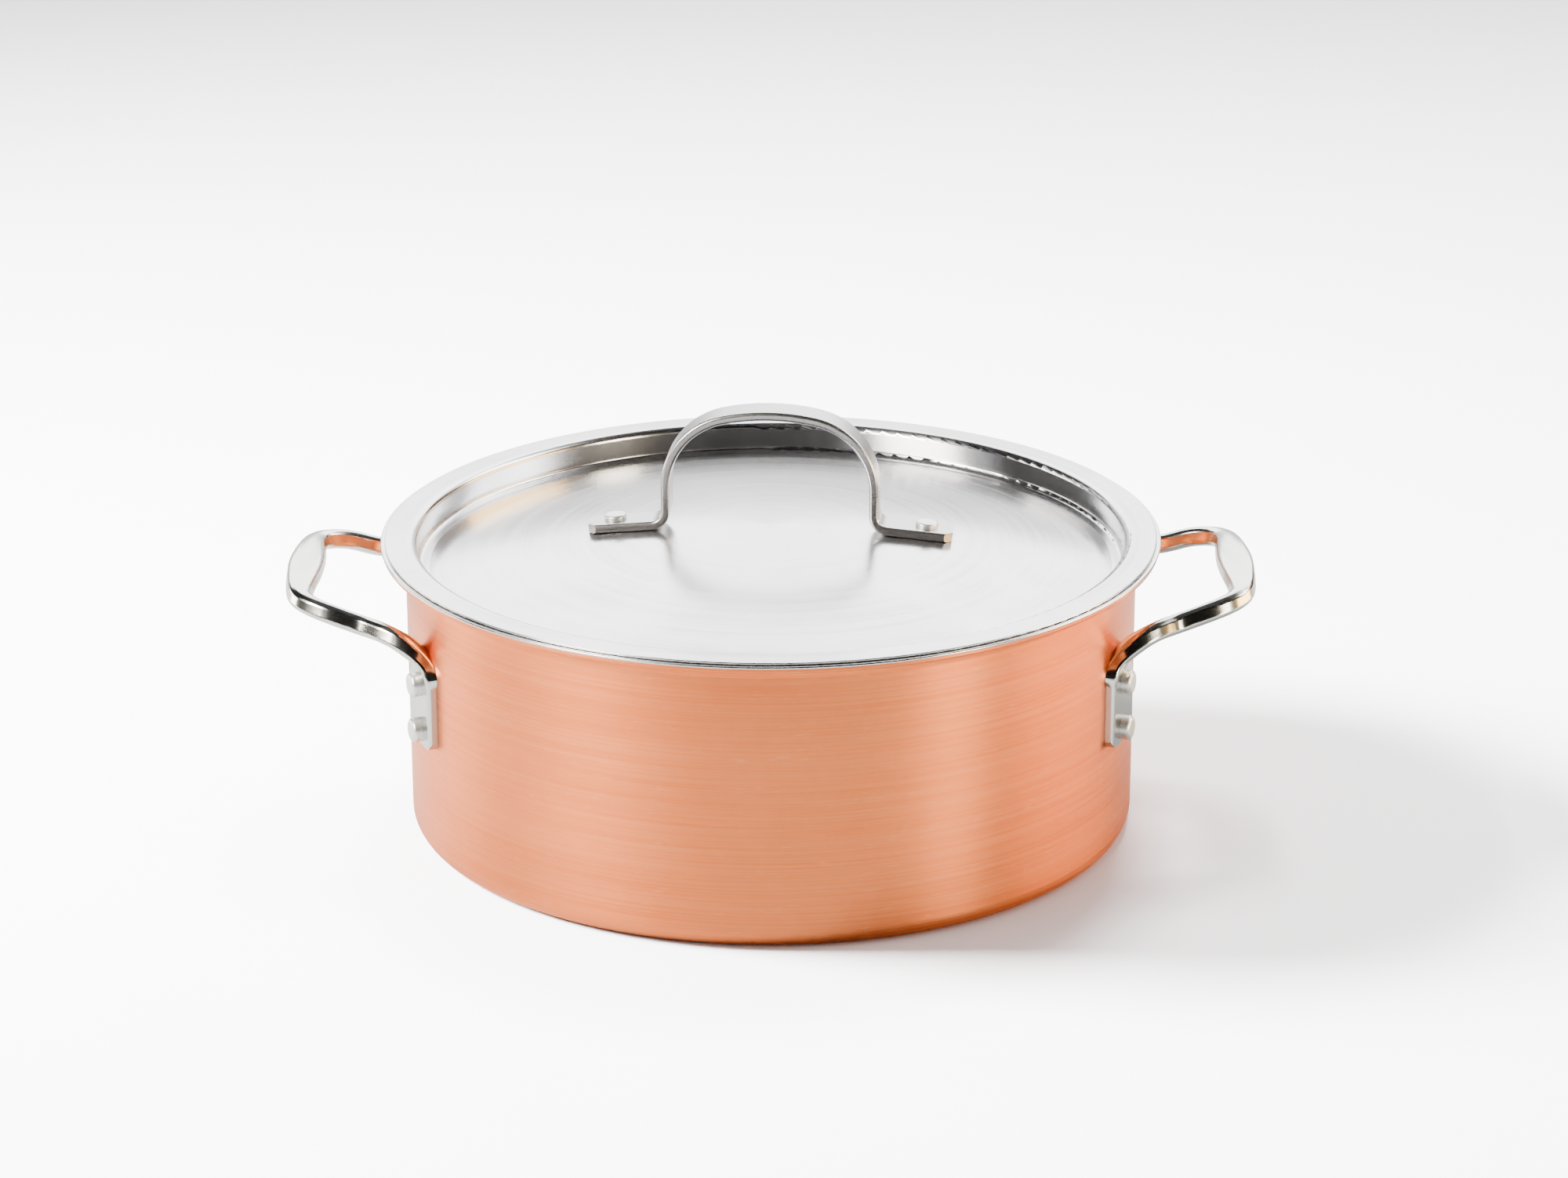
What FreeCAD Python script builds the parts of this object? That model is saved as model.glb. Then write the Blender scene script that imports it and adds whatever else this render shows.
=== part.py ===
import FreeCAD, Part
import math
import os
import re

import Sketcher

# Copper casserole with a recessed steel lid. Millimetres and degrees.
# Origin: centre of the base, on the surface the pot stands on. +Z is up and the side handles lie on X.

Vector = FreeCAD.Vector
Rotation = FreeCAD.Rotation
Placement = FreeCAD.Placement

SIZES = {
    # Pot: three bonded layers, straight wall, flared rim
    "wall_radius": 122.3,
    "copper": 0.8,
    "core": 0.9,
    "liner": 0.6,
    "base_round": 6.0,
    "rim_top": 98.7,
    "rim_radius": 130.4,
    "rim_edge": 0.9,
    "flare_round": 4.5,
    "copper_rim_radius": 130.0,
    "copper_rim_round": 0.7,
    "core_rim_radius": 129.2,
    # Lid: flat flange, recess, low dome
    "sheet": 0.8,
    "seat_gap": 0.1,
    "flange_radius": 129.0,
    "flange_edge_round": 0.3,
    "recess_radius": 118.4,
    "recess_depth": 10.0,
    "recess_top_round": 2.2,
    "recess_floor_round": 1.6,
    "dome_radius": 114.3,
    "dome_rise": 11.6,
    "dome_centre": 2.0,
    # Lid handle: a flat strap bent into an arch, riveted to the dome
    "strap_width": 12.4,
    "strap_thickness": 3.0,
    "strap_round": 1.0,
    "strap_turn": -5.1,
    "strap_top": 142.1,
    "strap_half_span": 36.4,
    "strap_crown_round": 75.0,
    "strap_shoulder_round": 26.0,
    "strap_foot_round": 3.6,
    "strap_foot_end": 61.0,
    "strap_corner": 2.6,
    "lid_rivet_place": 52.0,
    "strap_gap": 0.03,
    # Side handles: solid loops on two riveted plates each
    "leg_angle": 22.2,
    "plate_bottom": 41.8,
    "plate_width": 20.0,
    "plate_thickness": 2.7,
    "plate_corner": 2.6,
    "plate_edge": 1.1,
    "plate_backing": 1.8,
    "plate_gap": 0.05,
    "arm_width": 6.6,
    "arm_height": 6.6,
    "arm_edge": 2.4,
    "arm_low_edge": 2.0,
    "arm_round": 1.5,
    "arm_slope": 0.75,
    "arm_lean": 0.9,
    "grip_width": 12.2,
    "grip_height": 6.9,
    "grip_round": 1.6,
    "grip_dip_slope": 0.145,
    "grip_belly_slope": 0.68,
    "plate_top": 63.6,
    "bend_start": 69.2,
    "leg_top": 71.0,
    "root_x": 123.1,
    "root_y": -49.5,
    "root_z": 80.1,
    "arm_x": 133.4,
    "arm_y": -38.2,
    "arm_z": 79.1,
    "elbow_x": 142.8,
    "elbow_y": -39.7,
    "elbow_z": 83.3,
    "corner_x": 156.3,
    "corner_y": -32.0,
    "corner_z": 85.9,
    "grip_x": 156.1,
    "grip_y": -17.4,
    "grip_z": 86.5,
    "arm_run": 18.7,
    "elbow_run": 43.0,
    "section_pairs": 14,
    "cut_margin": 1.0,
    # Rivets
    "rivet_low": 46.4,
    "rivet_high": 62.3,
    "shank_radius": 2.4,
    "hole_clearance": 0.04,
    "side_head_radius": 4.1,
    "side_head_height": 3.2,
    "side_head_round": 1.4,
    "inner_head_radius": 5.2,
    "inner_head_height": 1.5,
    "lid_head_radius": 3.7,
    "lid_head_height": 1.8,
    "lid_head_round": 0.8,
    "lid_tail_radius": 4.4,
    "lid_tail_height": 1.3,
    "head_gap": 0.06,
}

doc = FreeCAD.newDocument("Casserole")
sheet = doc.addObject("Spreadsheet::Sheet", "Sizes")
for row, (alias, number) in enumerate(SIZES.items(), start=1):
    sheet.set(f"A{row}", alias)
    sheet.set(f"B{row}", str(number))
    sheet.setAlias(f"B{row}", alias)
doc.recompute()

made = []


def bound(formula):
    """A formula in plain size names, with each name pointed at its spreadsheet cell."""
    return re.sub(r"[a-z_]+", lambda m: "Sizes." + m[0] if m[0] in SIZES else m[0], formula)


def value(formula):
    """The number that a formula in size names comes to."""
    return float(sheet.evalExpression(bound(formula)))


def new_body(label):
    """A new sub-part, listed for the checks and the files at the end."""
    body = doc.addObject("PartDesign::Body", label)
    body.Label = label
    made.append(body)
    return body


def new_sketch(body, name, role, offset=None):
    """A sketch on one of the body's own origin planes."""
    sketch = body.newObject("Sketcher::SketchObject", name)
    planes = [f for f in body.Origin.OriginFeatures if f.Role == role]
    sketch.AttachmentSupport = (planes[0], [""])
    sketch.MapMode = "FlatFace"
    if offset:
        sketch.AttachmentOffset = offset
    return sketch


def pin(sketch, kind, geometry, point, formula):
    """Holds one coordinate of a point of the sketch at a formula in size names."""
    number = value(formula)
    constraint = Sketcher.Constraint(kind, -1, 1, geometry, point, number)
    index = sketch.addConstraint(constraint)
    sketch.setExpression(f"Constraints[{index}]", bound(formula))


def chain(sketch, steps, closed):
    """Draws a run of lines and arcs. Each step is (x, y) for a line to that point, or
    (x, y, radius, turn) for an arc to it, with turn +1 to the left and -1 to the right.
    A fifth value holds the arc's centre at that x, and its radius then follows from its ends.
    A closed run starts from its last point; an open one starts from its first."""
    places = [Vector(value(step[0]), value(step[1]), 0) for step in steps]
    numbers = range(0 if closed else 1, len(steps))
    ends = {}
    for number in numbers:
        step = steps[number]
        start, end = places[number - 1], places[number]
        if len(step) == 2:
            index = sketch.addGeometry(Part.LineSegment(start, end))
            ends[number] = (index, 1, 2)
            continue
        radius, turn = value(step[2]), step[3]
        chord = end - start
        left = Vector(-chord.y, chord.x, 0).normalize()
        reach = math.sqrt(max(radius**2 - (chord.Length / 2) ** 2, 0))
        centre = (start + end) * 0.5 + left * reach * turn
        first, last = (start, end) if turn > 0 else (end, start)
        angles = [math.atan2(p.y - centre.y, p.x - centre.x) for p in (first, last)]
        circle = Part.Circle(centre, Vector(0, 0, 1), radius)
        index = sketch.addGeometry(Part.ArcOfCircle(circle, *angles))
        ends[number] = (index, 1, 2) if turn > 0 else (index, 2, 1)
    for number in numbers:
        step = steps[number]
        index, start_point, end_point = ends[number]
        before = ends.get(number - 1) or (ends[len(steps) - 1] if closed else None)
        if before:
            joint = Sketcher.Constraint("Coincident", before[0], before[2], index, start_point)
            sketch.addConstraint(joint)
        else:
            pin(sketch, "DistanceX", index, start_point, steps[0][0])
            pin(sketch, "DistanceY", index, start_point, steps[0][1])
        pin(sketch, "DistanceX", index, end_point, step[0])
        pin(sketch, "DistanceY", index, end_point, step[1])
        if len(step) == 4:
            bind_radius(sketch, index, step[2])
        if len(step) == 5:
            pin(sketch, "DistanceX", index, 3, step[4])


def bind_radius(sketch, index, formula):
    """Holds a circle's or an arc's radius at a formula in size names."""
    number = sketch.addConstraint(Sketcher.Constraint("Radius", index, value(formula)))
    sketch.setExpression(f"Constraints[{number}]", bound(formula))


def circles(sketch, centres, radius):
    """Draws equal circles; each centre is an (x, y) pair of formulas."""
    for x, y in centres:
        circle = Part.Circle(Vector(value(x), value(y), 0), Vector(0, 0, 1), value(radius))
        index = sketch.addGeometry(circle)
        pin(sketch, "DistanceX", index, 3, x)
        pin(sketch, "DistanceY", index, 3, y)
        bind_radius(sketch, index, radius)


def revolve(body, name, steps):
    """A solid of revolution about Z from an outline of radii and heights."""
    sketch = new_sketch(body, name + "Outline", "XZ_Plane")
    chain(sketch, steps, closed=True)
    turned = body.newObject("PartDesign::Revolution", name)
    turned.Profile = sketch
    turned.ReferenceAxis = (sketch, ["V_Axis"])
    turned.Angle = 360
    doc.recompute()
    return turned


def cut_through(body, name, sketch):
    """Cuts a sketch right through the body both ways, and makes sure that it removed something."""
    before = body.Shape.Volume
    cut = body.newObject("PartDesign::Pocket", name)
    cut.Profile = sketch
    cut.Type = "ThroughAll"
    cut.Midplane = True
    doc.recompute()
    if body.Shape.Volume >= before - 0.01:
        raise RuntimeError(f"{name} cut nothing")
    return cut


def leg_plane(angle):
    """Turns a sketch on the YZ plane about Z, so that it faces along a leg's radius."""
    return Placement(Vector(), Rotation(Vector(0, 1, 0), angle))


RIVET_HEIGHTS = ("rivet_low", "rivet_high")


def cut_rivet_holes(body):
    """The side handles' rivet holes: each radial cut passes through both sides of the pot."""
    for side, name in ((1, "Front"), (-1, "Rear")):
        plane = leg_plane(-side * value("leg_angle"))
        sketch = new_sketch(body, name + "HoleSketch", "YZ_Plane", plane)
        circles(sketch, [("0", height) for height in RIVET_HEIGHTS], "shank_radius + hole_clearance")
        cut_through(body, name + "Holes", sketch)


# ---------------------------------------------------------------- pot


def layer(label, outer, inner, rim_steps):
    """One layer of the pot: everything between two depths below the pot's outer face."""
    flare_centre = "wall_radius + flare_round"
    flare_height = "rim_top - copper - core - liner - flare_round"
    corner_centre = "wall_radius - base_round"
    steps = [
        ("0", outer),
        (corner_centre, outer),
        (f"wall_radius - ({outer})", "base_round", f"base_round - ({outer})", 1),
        (f"wall_radius - ({outer})", flare_height),
        (flare_centre, f"{flare_height} + flare_round + {outer}", f"flare_round + {outer}", -1),
        *rim_steps,
        (flare_centre, f"{flare_height} + flare_round + {inner}"),
        (f"wall_radius - ({inner})", flare_height, f"flare_round + {inner}", 1),
        (f"wall_radius - ({inner})", "base_round"),
        (corner_centre, inner, f"base_round - ({inner})", -1),
        ("0", inner),
    ]
    body = new_body(label)
    revolve(body, "Wall", steps)
    cut_rivet_holes(body)
    return body


rim_low = "rim_top - copper - core - liner"
lip_low = "rim_top - rim_edge"
layer(
    "copper_shell",
    "0",
    "copper",
    [
        ("copper_rim_radius - copper_rim_round", rim_low),
        ("copper_rim_radius", f"{rim_low} + copper_rim_round", "copper_rim_round", 1),
        ("copper_rim_radius", lip_low),
        ("core_rim_radius", lip_low),
        ("core_rim_radius", f"{rim_low} + copper"),
    ],
)
layer(
    "aluminium_core",
    "copper",
    "copper + core",
    [
        ("core_rim_radius", f"{rim_low} + copper"),
        ("core_rim_radius", "rim_top - liner"),
    ],
)
layer(
    "steel_liner",
    "copper + core",
    "copper + core + liner",
    [
        ("core_rim_radius", "rim_top - liner"),
        ("core_rim_radius", lip_low),
        ("rim_radius - rim_edge / 2", lip_low),
        ("rim_radius", "rim_top - rim_edge / 2", "rim_edge / 2", 1),
        ("rim_radius - rim_edge / 2", "rim_top", "rim_edge / 2", 1),
    ],
)

# ---------------------------------------------------------------- lid

flange_top = "rim_top + seat_gap + sheet"
floor_top = f"{flange_top} - recess_depth"
dome_curve = "(dome_radius * dome_radius + dome_rise * dome_rise) / (2 * dome_rise)"


def dome_height(radius):
    """Height of the dome's upper face at a distance from the centre."""
    curve = value(dome_curve)
    return value(f"{floor_top} + dome_rise") - curve + math.sqrt(curve**2 - radius**2)


def dome_slope(radius):
    """Slope of the dome, in degrees, at a distance from the centre."""
    return math.degrees(math.asin(radius / value(dome_curve)))


def make_lid():
    wall_top = f"{flange_top} - recess_top_round"
    flange_start = "recess_radius + recess_top_round"
    floor_turn = f"{floor_top} + recess_floor_round"
    steps = [
        ("0", f"{floor_top} + dome_rise - sheet"),
        ("dome_centre", f"{floor_top} + dome_rise - sheet"),
        ("dome_radius", f"{floor_top} - sheet", dome_curve, -1, "0"),
        ("recess_radius - recess_floor_round", f"{floor_top} - sheet"),
        ("recess_radius + sheet", floor_turn, "recess_floor_round + sheet", 1),
        ("recess_radius + sheet", wall_top),
        (flange_start, f"{flange_top} - sheet", "recess_top_round - sheet", -1),
        ("flange_radius - flange_edge_round", f"{flange_top} - sheet"),
        ("flange_radius", f"{flange_top} - sheet + flange_edge_round", "flange_edge_round", 1),
        ("flange_radius", f"{flange_top} - flange_edge_round"),
        ("flange_radius - flange_edge_round", flange_top, "flange_edge_round", 1),
        (flange_start, flange_top),
        ("recess_radius", wall_top, "recess_top_round", 1),
        ("recess_radius", floor_turn),
        ("recess_radius - recess_floor_round", floor_top, "recess_floor_round", -1),
        ("dome_radius", floor_top),
        ("dome_centre", f"{floor_top} + dome_rise", dome_curve, 1, "0"),
        ("0", f"{floor_top} + dome_rise"),
    ]
    body = new_body("lid")
    revolve(body, "Spinning", steps)
    for side, name in ((-1, "Left"), (1, "Right")):
        place = lid_rivet_placement(side)
        sketch = new_sketch(body, name + "HoleSketch", "XY_Plane", place)
        circles(sketch, [("0", "0")], "shank_radius + hole_clearance")
        cut_through(body, name + "Hole", sketch)
    return body


def lid_rivet_placement(side):
    """Where a lid rivet meets the strap's upper face: square to the dome, along the turned strap."""
    place = value("lid_rivet_place")
    tilt = Rotation(Vector(0, 1, 0), side * dome_slope(place))
    turn = Rotation(Vector(0, 0, 1), value("strap_turn"))
    top = Vector(side * place, 0, dome_height(place))
    return Placement(turn.multVec(top), turn.multiply(tilt))


def rounded_box(half_width, top, bottom, corner):
    """Steps of an upright rectangle with rounded corners, centred on x = 0."""
    inner = f"({half_width}) - {corner}"
    return [
        (inner, bottom),
        (half_width, f"{bottom} + {corner}", corner, 1),
        (half_width, f"{top} - {corner}"),
        (inner, top, corner, 1),
        (f"-({inner})", top),
        (f"-({half_width})", f"{top} - {corner}", corner, 1),
        (f"-({half_width})", f"{bottom} + {corner}"),
        (f"-({inner})", bottom, corner, 1),
    ]


def make_strap():
    """The lid handle: a flat strap swept along its middle line, with clipped foot corners."""
    half = "strap_thickness / 2"
    crown = f"(strap_crown_round - {half})"
    shoulder = f"(strap_shoulder_round - {half})"
    bend = f"(strap_foot_round + {half})"
    span = f"(strap_half_span - {half})"
    top = f"(strap_top - {half})"
    sine = f"(({span} - {shoulder}) / ({crown} - {shoulder}))"
    cosine = f"sqrt(1 - {sine} * {sine})"
    dome_sine = f"(lid_rivet_place / ({dome_curve}))"
    dome_cosine = f"sqrt(1 - {dome_sine} * {dome_sine})"
    slope = f"({dome_sine} / {dome_cosine})"
    seat = f"({flange_top} - recess_depth + dome_rise - ({dome_curve}) * (1 - {dome_cosine}))"
    foot_x = f"({span} + {bend} * (1 - {dome_sine}))"
    middle = f"({seat} + strap_gap + {half} / {dome_cosine})"
    foot_z = f"({middle} - ({foot_x} - lid_rivet_place) * {slope})"
    tip_z = f"({middle} - (strap_foot_end - lid_rivet_place) * {slope})"
    shoulder_z = f"{top} - {crown} + ({crown} - {shoulder}) * {cosine}"
    leg_low = f"{foot_z} + {bend} * {dome_cosine}"

    body = new_body("lid_handle")
    path = new_sketch(body, "StrapPath", "XZ_Plane")
    steps = [
        ("-strap_foot_end", tip_z),
        (f"-{foot_x}", foot_z),
        (f"-{span}", leg_low, bend, 1),
        (f"-{span}", shoulder_z),
        (f"-{crown} * {sine}", f"{top} - {crown} + {crown} * {cosine}", shoulder, -1),
        (f"{crown} * {sine}", f"{top} - {crown} + {crown} * {cosine}", crown, -1),
        (span, shoulder_z, shoulder, -1),
        (span, leg_low),
        (foot_x, foot_z, bend, 1),
        ("strap_foot_end", tip_z),
    ]
    chain(path, steps, closed=False)
    start = Vector(0, value(tip_z), -value("strap_foot_end"))
    tilt = Rotation(Vector(1, 0, 0), -dome_slope(value("lid_rivet_place")))
    section = new_sketch(body, "StrapSection", "YZ_Plane", Placement(start, tilt))
    chain(section, rounded_box("strap_width / 2", half, f"-{half}", "strap_round"), closed=True)
    pipe = body.newObject("PartDesign::AdditivePipe", "Strap")
    pipe.Profile = section
    pipe.Spine = (path, [f"Edge{number}" for number in range(1, len(steps))])
    doc.recompute()

    corners = new_sketch(body, "CornerSketch", "XY_Plane")
    edge, end = "strap_width / 2", "strap_foot_end"
    for x_sign, y_sign in ((1, 1), (-1, 1), (-1, -1), (1, -1)):
        clipping = [
            (f"{end} + cut_margin", f"{edge} - strap_corner"),
            (f"{end} + cut_margin", f"{edge} + cut_margin"),
            (f"{end} - strap_corner", f"{edge} + cut_margin"),
            (f"{end} - strap_corner", edge),
            (end, f"{edge} - strap_corner"),
        ]
        clipping = [(f"{x_sign} * ({x})", f"{y_sign} * ({y})") for x, y in clipping]
        chain(corners, clipping, closed=True)
    cut_through(body, "Corners", corners)
    for x_sign, name in ((-1, "Left"), (1, "Right")):
        place = Vector(x_sign * value("lid_rivet_place"), 0, value(seat))
        slope_turn = Rotation(Vector(0, 1, 0), x_sign * dome_slope(value("lid_rivet_place")))
        sketch = new_sketch(body, name + "HoleSketch", "XY_Plane", Placement(place, slope_turn))
        circles(sketch, [("0", "0")], "shank_radius + hole_clearance")
        cut_through(body, name + "Hole", sketch)
    body.Placement = Placement(Vector(), Rotation(Vector(0, 0, 1), value("strap_turn")))


def make_rivet(label, placement, head, grip, tail):
    """A rivet along its own Z: the head stands above z = 0, the tail closes below the grip."""
    radius, height, edge = head
    tail_radius, tail_height = tail
    steps = [
        ("0", f"-({grip}) - {tail_height}"),
        (f"{tail_radius} - {tail_height} / 2", f"-({grip}) - {tail_height}"),
        (tail_radius, f"-({grip}) - {tail_height} / 2", f"{tail_height} / 2", 1),
        (tail_radius, f"-({grip})"),
        ("shank_radius", f"-({grip})"),
        ("shank_radius", "head_gap"),
        (radius, "head_gap"),
        (radius, f"{height} - {edge}"),
        (f"{radius} - {edge}", height, edge, 1),
        ("0", height),
    ]
    body = new_body(label)
    revolve(body, "Rivet", steps)
    body.Placement = placement


# ---------------------------------------------------------------- side handles

plate_face = "(wall_radius + plate_gap + plate_thickness)"
leg_line = f"({plate_face} - plate_thickness / 2)"

# Weight of the pot's radius in a section's heading. It settles the heading where the bar runs straight up.
PLATE_LEAN = 0.02

SECTIONS = {
    # half width, height of the crown's edges, slope there, depth of the belly's edges, slope there,
    # corner rounding, lean of each side inwards towards the top; slopes are sines of angles
    "plate": (
        "plate_width / 2",
        "plate_thickness / 2 + plate_backing",
        "0.011",
        "plate_thickness / 2",
        "0.011",
        "plate_edge",
        "0",
    ),
    "arm": (
        "arm_width / 2",
        "arm_edge",
        "arm_slope",
        "arm_low_edge",
        "arm_slope",
        "arm_round",
        "arm_lean",
    ),
    "grip": (
        "grip_width / 2",
        "grip_height / 2",
        "-grip_dip_slope",
        "grip_height / 5",
        "grip_belly_slope",
        "grip_round",
        "arm_lean / 3",
    ),
}


def leg_centreline():
    """Control points of the handle's middle line, from the top of the front plate to the grip."""
    angle = math.radians(value("leg_angle"))
    foot = Vector(math.cos(angle), -math.sin(angle), 0) * value(leg_line)
    points = [foot + Vector(0, 0, value(name)) for name in ("plate_top", "bend_start", "leg_top")]
    for name in ("root", "arm", "elbow", "corner", "grip"):
        points.append(Vector(*(value(f"{name}_{axis}") for axis in ("x", "y", "z"))))
    return points


def bar_frames(curve, inward, count):
    """Evenly spaced places along the bar, each with its distance and the frame of its section:
    X across the bar, Y towards the pot on the plates and upwards on the arms and the grip."""
    length = curve.length()
    for number in range(count + 1):
        run = length * number / count
        parameter = curve.parameterAtDistance(run, curve.FirstParameter)
        centre, along = curve.value(parameter), Vector(*curve.tangent(parameter)[0])
        lean = inward[0] * -PLATE_LEAN if number * 2 < count else inward[1] * PLATE_LEAN
        heading = Vector(along.x, along.y, 0) + lean
        across = heading.cross(Vector(0, 0, 1))
        across = (across - along * across.dot(along)).normalize()
        up = across.cross(along).normalize()
        yield run, Placement(centre, Rotation(across, up, across.cross(up), "XYZ"))


def make_side_handle(label, turn):
    half = leg_centreline()
    mirrored = [Vector(p.x, -p.y, p.z) for p in reversed(half)]
    curve = Part.BSplineCurve()
    curve.buildFromPoles(half + mirrored, False, 3)
    length = curve.length()
    inward = [Vector(-p.x, -p.y, 0).normalize() for p in (half[0], mirrored[-1])]
    body = new_body(label)
    sketches = []
    for run, frame in bar_frames(curve, inward, 2 * int(value("section_pairs"))):
        sketch = new_sketch(body, f"Section{len(sketches)}", "XY_Plane", frame)
        chain(sketch, handle_section(min(run, length - run), length / 2), closed=True)
        sketches.append(sketch)
    loft = body.newObject("PartDesign::AdditiveLoft", "Bar")
    loft.Profile = sketches[0]
    loft.Sections = sketches[1:]
    doc.recompute()
    for name, sketch in (("FrontPlate", sketches[0]), ("RearPlate", sketches[-1])):
        plate = body.newObject("PartDesign::Pad", name)
        plate.Profile = sketch
        plate.UseCustomVector = True
        plate.Direction = Vector(0, 0, -1)
        plate.setExpression("Length", bound("plate_top - plate_bottom"))
        doc.recompute()

    back = new_sketch(body, "BackSketch", "XY_Plane")
    circles(back, [("0", "0")], "wall_radius + plate_gap")
    cut_through(body, "Back", back)
    for side, name in ((1, "Front"), (-1, "Rear")):
        plane = leg_plane(-side * value("leg_angle"))
        corners = new_sketch(body, name + "CornerSketch", "YZ_Plane", plane)
        for sign in (1, -1):
            edge, inner = f"{sign} * plate_width / 2", f"{sign} * (plate_width / 2 - plate_corner)"
            outside = f"{sign} * (plate_width / 2 + cut_margin)"
            rounding = [
                (inner, "plate_bottom", "plate_corner", -sign),
                (inner, "plate_bottom - cut_margin"),
                (outside, "plate_bottom - cut_margin"),
                (outside, "plate_bottom + plate_corner"),
                (edge, "plate_bottom + plate_corner"),
            ]
            chain(corners, rounding, closed=True)
        cut_through(body, name + "Corners", corners)
    cut_rivet_holes(body)
    body.Placement = Placement(Vector(), Rotation(Vector(0, 0, 1), turn))


def handle_section(run, half_length):
    """The bar's section at a distance along it: plate, then arm, then grip. It is a smooth closed
    line: an arc below, two leaning sides, an arc on top, and a rounding at each corner."""
    to_arm = ease(run, 0, value("arm_run"))
    to_grip = ease(run, value("elbow_run"), half_length)
    shares = (1 - to_arm, to_arm * (1 - to_grip), to_arm * to_grip)
    formulas = []
    for sizes in zip(*SECTIONS.values()):
        terms = [f"({size}) * {share:.4f}" for size, share in zip(sizes, shares) if share > 5e-5]
        formulas.append(f"({' + '.join(terms)})")
    half, top, crown, low, belly, corner, lean = formulas
    low_x = f"({half} - {corner})"
    low_y = f"({corner} * sqrt(1 - {belly} ^ 2) - {low})"
    top_x = f"({low_x} - {lean})"
    top_y = f"({top} - {corner} * sqrt(1 - {crown} ^ 2))"
    rise = f"({top_y} - {low_y})"
    side = f"sqrt({lean} ^ 2 + {rise} ^ 2)"
    out_x = f"{corner} * {rise} / {side}"
    out_y = f"{corner} * {lean} / {side}"
    crown_half = f"({top_x} + {corner} * {crown})"
    belly_half = f"({low_x} + {corner} * {belly})"
    crown_turn = 1 if value(crown) > 0 else -1
    return [
        (belly_half, f"-{low}", f"{belly_half} / {belly}", 1),
        (f"{low_x} + {out_x}", f"{low_y} + {out_y}", corner, 1),
        (f"{top_x} + {out_x}", f"{top_y} + {out_y}"),
        (crown_half, top, corner, 1),
        (f"-{crown_half}", top, f"{crown_half} / abs({crown})", crown_turn),
        (f"-{top_x} - {out_x}", f"{top_y} + {out_y}", corner, 1),
        (f"-{low_x} - {out_x}", f"{low_y} + {out_y}"),
        (f"-{belly_half}", f"-{low}", corner, 1),
    ]


def ease(place, start, end):
    """0 before the start, 1 after the end, and smooth in between."""
    part = min(max((place - start) / (end - start), 0), 1)
    return part * part * (3 - 2 * part)


# ---------------------------------------------------------------- all pieces

make_lid()
make_strap()
strap_top_face = Placement(Vector(0, 0, value("strap_thickness + strap_gap")), Rotation())
for side, name in ((-1, "left"), (1, "right")):
    make_rivet(
        f"lid_{name}_rivet",
        lid_rivet_placement(side).multiply(strap_top_face),
        ("lid_head_radius", "lid_head_height", "lid_head_round"),
        "strap_thickness + strap_gap + sheet + head_gap",
        ("lid_tail_radius", "lid_tail_height"),
    )

inside = "(wall_radius - copper - core - liner)"
side_grip = f"{plate_face} - sqrt({inside} ^ 2 - inner_head_radius ^ 2) + head_gap"
outward = Rotation(Vector(0, 1, 0), 90)
for side, turn, sense in (("right", 0, 1), ("left", 180, -1)):
    make_side_handle(f"{side}_side_handle", turn)
    for end, sign in (("front", -1), ("rear", 1)):
        spin = Rotation(Vector(0, 0, 1), turn + sense * sign * value("leg_angle"))
        for level, height in zip(("lower", "upper"), RIVET_HEIGHTS):
            face = spin.multVec(Vector(value(plate_face), 0, value(height)))
            make_rivet(
                f"{side}_{end}_{level}_rivet",
                Placement(face, spin.multiply(outward)),
                ("side_head_radius", "side_head_height", "side_head_round"),
                side_grip,
                ("inner_head_radius", "inner_head_height"),
            )

doc.recompute()
for item in doc.Objects:
    if {"Invalid", "Error"} & set(item.State):
        raise RuntimeError(f"{item.Label} didn't compute: {item.State}")
for body in made:
    if body.Shape.isNull() or not body.Shape.isValid():
        raise RuntimeError(f"{body.Label} has no sound shape")

os.makedirs("parts", exist_ok=True)
for body in made:
    body.Shape.exportStep(f"parts/{body.Label}.step")
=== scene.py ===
import math

import bpy
from mathutils import Matrix, Vector

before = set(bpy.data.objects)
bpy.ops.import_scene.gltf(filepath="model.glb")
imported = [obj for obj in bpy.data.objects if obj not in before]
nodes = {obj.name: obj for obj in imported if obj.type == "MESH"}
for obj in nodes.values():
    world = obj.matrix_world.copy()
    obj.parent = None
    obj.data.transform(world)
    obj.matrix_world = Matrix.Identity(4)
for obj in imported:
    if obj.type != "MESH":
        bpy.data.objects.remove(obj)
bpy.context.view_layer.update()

WHITE = (1.0, 1.0, 1.0)
QUARTER_TURN = 0.25

# Noise runs from 0 to 1, but lies mostly between these two.
NOISE_LOW, NOISE_HIGH = 0.3, 0.7

# The colour sockets of a Mix node, which share their names with its other sockets.
MIX_FIRST, MIX_SECOND, MIX_RESULT = 6, 7, 2


def dimmed(colour, share):
    return tuple(channel * share for channel in colour)


# ---------------------------------------------------------------- material tools


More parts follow.
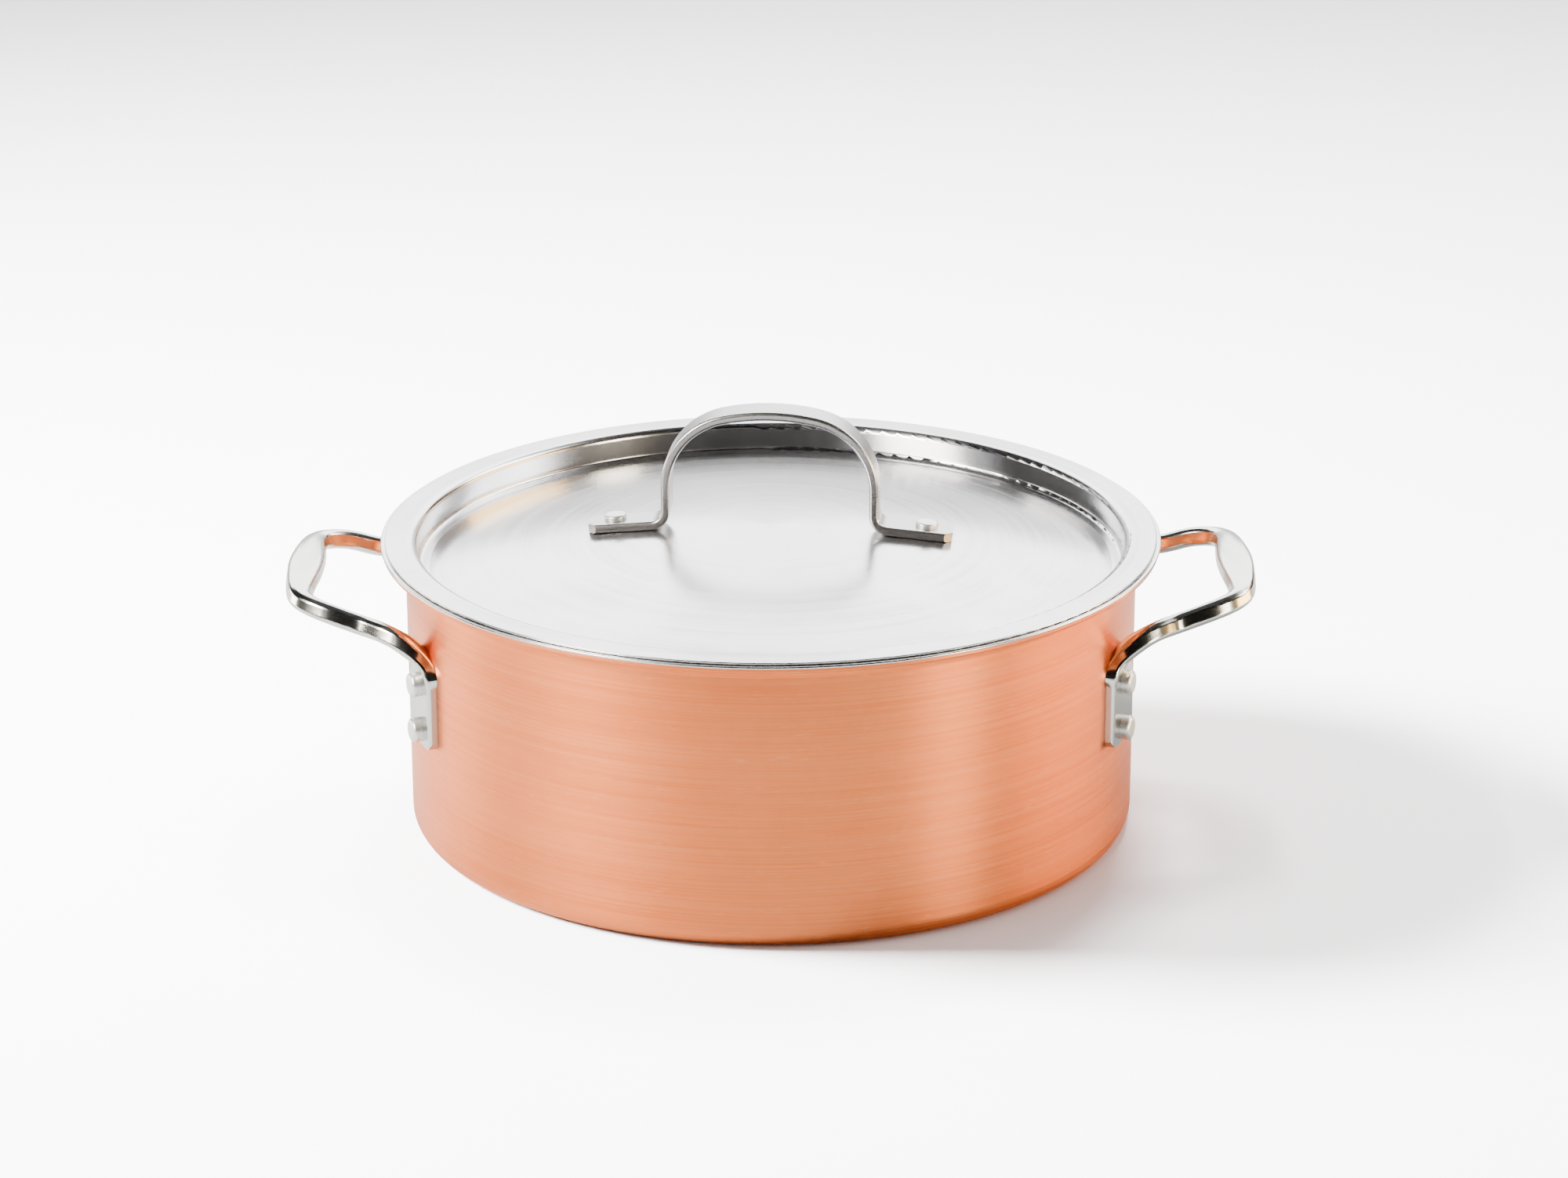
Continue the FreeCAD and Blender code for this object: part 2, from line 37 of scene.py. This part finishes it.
class Surface:
    """A node material, built round one Principled shader."""

    def __init__(self, name, metallic=1.0):
        self.material = bpy.data.materials.new(name)
        self.material.use_nodes = True
        self.tree = self.material.node_tree
        self.shader = next(n for n in self.tree.nodes if n.type == "BSDF_PRINCIPLED")
        self.shader.inputs["Metallic"].default_value = metallic
        self.places = self.node("ShaderNodeTexCoord").outputs["Object"]

    def node(self, kind, inputs=None, **settings):
        made = self.tree.nodes.new(kind)
        for key, value in settings.items():
            setattr(made, key, value)
        for key, value in (inputs or {}).items():
            self.fill(made.inputs[key], value)
        return made

    def fill(self, socket, value):
        """Links a socket to another node's output, or sets its value."""
        if isinstance(value, bpy.types.NodeSocket):
            self.tree.links.new(value, socket)
        else:
            socket.default_value = value

    def link(self, source, target):
        self.tree.links.new(source, self.shader.inputs[target])

    def stretched(self, x, y, z):
        """Object coordinates, with cells that are 1/x by 1/y by 1/z metres."""
        scaled = self.node("ShaderNodeMapping", {"Vector": self.places, "Scale": (x, y, z)})
        return scaled.outputs["Vector"]

    def rings(self, across, along):
        """Coordinates for marks that run round the Z axis, in circles about it."""
        flat = self.node(
            "ShaderNodeVectorMath",
            {0: self.places, 1: (1.0, 1.0, 0.0)},
            operation="MULTIPLY",
        )
        radius = self.node("ShaderNodeVectorMath", {0: flat.outputs[0]}, operation="LENGTH")
        spread = self.math("MULTIPLY", radius.outputs["Value"], across)
        parts = self.node("ShaderNodeSeparateXYZ", {0: self.stretched(along, along, along)})
        joined = self.node(
            "ShaderNodeCombineXYZ", {0: parts.outputs[0], 1: parts.outputs[1], 2: spread}
        )
        return joined.outputs[0]

    def noise(self, vector, detail, roughness=0.5):
        made = self.node(
            "ShaderNodeTexNoise",
            {"Vector": vector, "Scale": 1.0, "Detail": detail, "Roughness": roughness},
        )
        return made.outputs["Fac"]

    def math(self, operation, first, second):
        return self.node("ShaderNodeMath", {0: first, 1: second}, operation=operation).outputs[0]

    def ramp(self, value, low, high, out_low, out_high):
        """Maps a value from one range to another, and holds it at the ends."""
        made = self.node(
            "ShaderNodeMapRange",
            {
                "Value": value,
                "From Min": low,
                "From Max": high,
                "To Min": out_low,
                "To Max": out_high,
            },
        )
        return made.outputs["Result"]

    def spread(self, noise, out_low=0.0, out_high=1.0):
        """Spreads noise over a whole range."""
        return self.ramp(noise, NOISE_LOW, NOISE_HIGH, out_low, out_high)

    def blend(self, share, first, second):
        """Mixes two colours, each a plain one or another node's output."""
        made = self.node("ShaderNodeMix", {"Factor": share}, data_type="RGBA")
        for number, colour in ((MIX_FIRST, first), (MIX_SECOND, second)):
            plain = isinstance(colour, tuple)
            self.fill(made.inputs[number], (*colour, 1.0) if plain else colour)
        return made.outputs[MIX_RESULT]

    def bump(self, height, depth, strength):
        made = self.node(
            "ShaderNodeBump", {"Height": height, "Distance": depth, "Strength": strength}
        )
        self.link(made.outputs["Normal"], "Normal")

    def brushed(self, amount):
        """Stretches the highlights across brush marks that run round the Z axis."""
        self.shader.inputs["Anisotropic"].default_value = amount
        self.shader.inputs["Anisotropic Rotation"].default_value = QUARTER_TURN
        tangent = self.node("ShaderNodeTangent", direction_type="RADIAL", axis="Z")
        self.link(tangent.outputs["Tangent"], "Tangent")

    def put_on(self, *names):
        for name in names:
            slots = nodes[name].material_slots
            for slot in slots:
                slot.material = self.material
            if not slots:
                nodes[name].data.materials.append(self.material)


# ---------------------------------------------------------------- copper

copper = Surface("brushed_copper")
fine = copper.noise(copper.stretched(14, 14, 5200), detail=3)
medium = copper.noise(copper.stretched(9, 9, 1300), detail=2)
cloud = copper.noise(copper.stretched(16, 16, 26), detail=4, roughness=0.6)
scratches = copper.noise(copper.stretched(150, 150, 2300), detail=1)
marks = copper.ramp(scratches, 0.66, 0.78, 0.0, 1.0)
tone = copper.blend(copper.spread(cloud), (0.79, 0.180, 0.042), (0.87, 0.220, 0.062))
tone = copper.blend(copper.ramp(medium, 0.35, 0.68, 0.0, 0.55), tone, (0.92, 0.30, 0.11))
tone = copper.blend(copper.math("MULTIPLY", marks, 0.4), tone, (0.96, 0.42, 0.20))
copper.link(tone, "Base Color")
grain = copper.math("ADD", copper.math("MULTIPLY", fine, 0.6), copper.math("MULTIPLY", medium, 0.4))
copper.link(copper.spread(grain, 0.36, 0.47), "Roughness")
copper.bump(grain, depth=0.00005, strength=0.45)
copper.brushed(0.72)
copper.put_on("copper_shell")

# ---------------------------------------------------------------- spun metal: lid, liner, core


def spun(name, colour, pale, smooth, rough, brushing):
    """Steel or aluminium with fine circular marks about the Z axis."""
    metal = Surface(name)
    fine = metal.noise(metal.rings(4200, 7), detail=3)
    wide = metal.noise(metal.rings(420, 3), detail=2)
    cloud = metal.noise(metal.stretched(22, 22, 22), detail=4, roughness=0.6)
    grain = metal.math("ADD", metal.math("MULTIPLY", fine, 0.7), metal.math("MULTIPLY", wide, 0.3))
    tone = metal.blend(metal.spread(cloud), colour, pale)
    tone = metal.blend(metal.ramp(wide, 0.35, 0.65, 0.0, 0.7), tone, pale)
    metal.link(tone, "Base Color")
    metal.link(metal.spread(grain, smooth, rough), "Roughness")
    metal.bump(grain, depth=0.00003, strength=0.45)
    metal.brushed(brushing)
    return metal


for piece, name, colour, pale, smooth, rough, brushing in (
    ("lid", "spun_lid_steel", (0.50, 0.50, 0.52), (0.74, 0.74, 0.75), 0.16, 0.24, 0.6),
    ("steel_liner", "liner_steel", (0.66, 0.65, 0.64), (0.76, 0.75, 0.74), 0.18, 0.28, 0.5),
    ("aluminium_core", "core_aluminium", (0.72, 0.72, 0.74), (0.80, 0.80, 0.82), 0.35, 0.45, 0.4),
):
    spun(name, colour, pale, smooth, rough, brushing).put_on(piece)

# ---------------------------------------------------------------- polished steel and rivets


def polished(name, colour, smooth, rough, marks):
    """Buffed metal, from clear to satin, with faint buffing marks and waves."""
    metal = Surface(name)
    hairs = metal.noise(metal.stretched(220, 2600, 2600), detail=2)
    haze = metal.noise(metal.stretched(70, 70, 70), detail=4, roughness=0.65)
    waves = metal.noise(metal.stretched(60, 60, 60), detail=1)
    metal.link(metal.blend(metal.spread(haze), dimmed(colour, 0.92), colour), "Base Color")
    worn = metal.math("ADD", metal.math("MULTIPLY", hairs, marks), haze)
    metal.link(metal.ramp(worn, 0.35, 0.75 + marks, smooth, rough), "Roughness")
    relief = metal.math("ADD", metal.math("MULTIPLY", hairs, 0.02), waves)
    metal.bump(relief, depth=0.0002, strength=0.12)
    return metal


loops = ["left_side_handle", "right_side_handle"]
rivets = [name for name in nodes if name.endswith("_rivet")]
for pieces, name, colour, smooth, rough, marks in (
    (loops, "polished_handle_steel", (0.62, 0.63, 0.59), 0.13, 0.21, 0.5),
    (["lid_handle"], "lid_strap_steel", (0.54, 0.53, 0.53), 0.24, 0.34, 0.8),
    (rivets, "satin_rivet", (0.84, 0.84, 0.83), 0.36, 0.48, 0.8),
):
    polished(name, colour, smooth, rough, marks).put_on(*pieces)

# ---------------------------------------------------------------- floor


def place(name, data):
    """Puts a mesh, a light or a camera in the scene."""
    made = bpy.data.objects.new(name, data)
    bpy.context.collection.objects.link(made)
    return made


def stage_mesh(name, points, faces, surface):
    """A mesh that belongs to the studio and not to the pot."""
    mesh = bpy.data.meshes.new(name)
    mesh.from_pydata(points, [], faces)
    mesh.materials.append(surface.material)
    made = place(name, mesh)
    return made


def square(side):
    """The corners and the face of a flat square about the origin."""
    half = side / 2
    points = [(-half, -half, 0), (half, -half, 0), (half, half, 0), (-half, half, 0)]
    return points, [(0, 1, 2, 3)]


def show_in_reflections_only(made):
    for kind in ("visible_camera", "visible_diffuse", "visible_shadow", "visible_transmission"):
        setattr(made, kind, False)


FLOOR_SIDE, SHEET_SIDE, SHEET_LIFT = 14, 8, 0.0001

paper = Surface("pale_paper", metallic=0.0)
mottle = paper.noise(paper.stretched(9, 9, 9), detail=5, roughness=0.6)
fibre = paper.noise(paper.stretched(900, 900, 900), detail=2)
paper.link(paper.blend(paper.spread(mottle), (0.80,) * 3, (0.82,) * 3), "Base Color")
paper.link(paper.spread(fibre, 0.75, 0.9), "Roughness")
floor = stage_mesh("floor", *square(FLOOR_SIDE), paper)
floor.visible_glossy = False

# The floor is far brighter than the pot. A dimmer sheet just above it takes its place in
# reflections, so that the copper and the steel keep their colour.
dim_paper = Surface("dim_paper", metallic=0.0)
dim_mottle = dim_paper.noise(dim_paper.stretched(9, 9, 9), detail=5)
dim_paper.link(dim_paper.blend(dim_mottle, (0.18, 0.18, 0.176), (0.21, 0.21, 0.206)), "Base Color")
dim_paper.shader.inputs["Specular IOR Level"].default_value = 0.0
sheet = stage_mesh("reflected_floor", *square(SHEET_SIDE), dim_paper)
sheet.location.z = SHEET_LIFT
show_in_reflections_only(sheet)

# ---------------------------------------------------------------- light

POT_CENTRE = Vector((0, 0, 0.07))


def softbox(name, spot, width, height, power, tint=WHITE):
    """A rectangular light that points at the pot."""
    lamp = bpy.data.lights.new(name, "AREA")
    lamp.shape = "RECTANGLE"
    lamp.size, lamp.size_y = width, height
    lamp.energy = power
    lamp.color = tint
    made = place(name, lamp)
    turn = (POT_CENTRE - Vector(spot)).to_track_quat("-Z", "Y")
    made.matrix_world = Matrix.Translation(spot) @ turn.to_matrix().to_4x4()
    return made


def around(azimuth, distance, height):
    """A place round the pot; azimuth 0 is the front, and it grows towards +X."""
    angle = math.radians(azimuth)
    return (distance * math.sin(angle), -distance * math.cos(angle), height)


# These two light the floor and cast the shadows. Mirror-like surfaces don't show them.
for name, spot, side, power, spread in (
    ("key_box", (-2.3, 0.35, 1.5), 1.0, 180, 62),
    ("pool_box", (0.15, 0.9, 2.1), 0.7, 26, 75),
):
    box = softbox(name, spot, side, side, power)
    box.data.spread = math.radians(spread)
    box.visible_glossy = False

# These light by reflection only: the copper and the steel show them, and the floor hardly does.
for name, azimuth, distance, height, width, tall, power, tint in (
    ("back_box", 180, 2.4, 1.62, 3.2, 1.7, 84, WHITE),
    ("left_box", -58, 1.5, 0.95, 0.75, 0.8, 58, (1.0, 0.93, 0.84)),
    ("left_low_box", -114, 1.6, 0.13, 1.0, 0.25, 13, (1.0, 0.90, 0.78)),
    ("right_strip", 54, 1.6, 0.25, 0.40, 0.45, 15, (1.0, 0.90, 0.68)),
    ("right_low_box", 98, 1.6, 0.2, 1.3, 0.4, 25, (1.0, 0.60, 0.20)),
    ("right_box", 112, 1.6, 1.15, 1.2, 0.7, 26, (1.0, 0.97, 0.93)),
):
    box = softbox(name, around(azimuth, distance, height), width, tall, power, tint)
    box.visible_diffuse = False

world = bpy.data.worlds.new("studio_air")
bpy.context.scene.world = world
world.use_nodes = True
air = next(n for n in world.node_tree.nodes if n.type == "BACKGROUND")
air.inputs["Color"].default_value = (*WHITE, 1.0)
air.inputs["Strength"].default_value = 1.6

CLOTH_CELLS = 12


def cloth(name, azimuths, rises, radius, shade):
    """A dark felt patch of a sphere round the pot, from azimuth to azimuth and rise to rise."""
    points, faces = [], []
    row_length = CLOTH_CELLS + 1
    for row in range(row_length):
        rise = math.radians(rises[0] + (rises[1] - rises[0]) * row / CLOTH_CELLS)
        for column in range(row_length):
            turn = azimuths[0] + (azimuths[1] - azimuths[0]) * column / CLOTH_CELLS
            points.append(around(turn, radius * math.cos(rise), radius * math.sin(rise)))
    for row in range(CLOTH_CELLS):
        for column in range(CLOTH_CELLS):
            first = row * row_length + column
            faces.append((first, first + 1, first + row_length + 1, first + row_length))
    felt = Surface(name, metallic=0.0)
    weave = felt.noise(felt.stretched(4, 4, 4), detail=4)
    felt.link(felt.blend(weave, dimmed(shade, 0.6), shade), "Base Color")
    felt.shader.inputs["Specular IOR Level"].default_value = 0.0
    made = stage_mesh(name, points, faces, felt)
    show_in_reflections_only(made)
    return made


# Dark cloths hang round the set, for the dark bands in the steel. The front one also shades the
# floor in front of the pot.
front_cloth = cloth("front_cloth", (-34, 40), (0, 70), 2.3, (0.003, 0.003, 0.003))
front_cloth.visible_diffuse = front_cloth.visible_shadow = True
cloth("low_left_cloth", (-96, -34), (0, 20), 2.4, (0.010, 0.010, 0.009))
cloth("right_cloth", (40, 88), (0, 66), 2.7, (0.020, 0.013, 0.010))
cloth("warm_cloth", (88, 150), (0, 20), 2.8, (0.10, 0.03, 0.008))
cloth("left_cloth", (-150, -88), (14, 62), 2.9, (0.006, 0.006, 0.006))
cloth("top_cloth", (0, 360), (54, 90), 3.0, (0.05, 0.05, 0.05))

# ---------------------------------------------------------------- camera

lens = bpy.data.cameras.new("photo_camera")
lens.sensor_fit = "HORIZONTAL"
lens.sensor_width = 36.0
lens.lens = 100.36
lens.clip_start, lens.clip_end = 0.01, 50
camera = place("photo_camera", lens)
eye = Vector((0.0, -1.3881, 0.5684))
pitch, yaw, roll = math.radians(-19.45), math.radians(0.181), math.radians(-0.126)
view = Matrix.Rotation(-yaw, 4, "Z") @ Matrix.Rotation(math.pi / 2 + pitch, 4, "X")
camera.matrix_world = Matrix.Translation(eye) @ view @ Matrix.Rotation(roll, 4, "Z")
bpy.context.scene.camera = camera
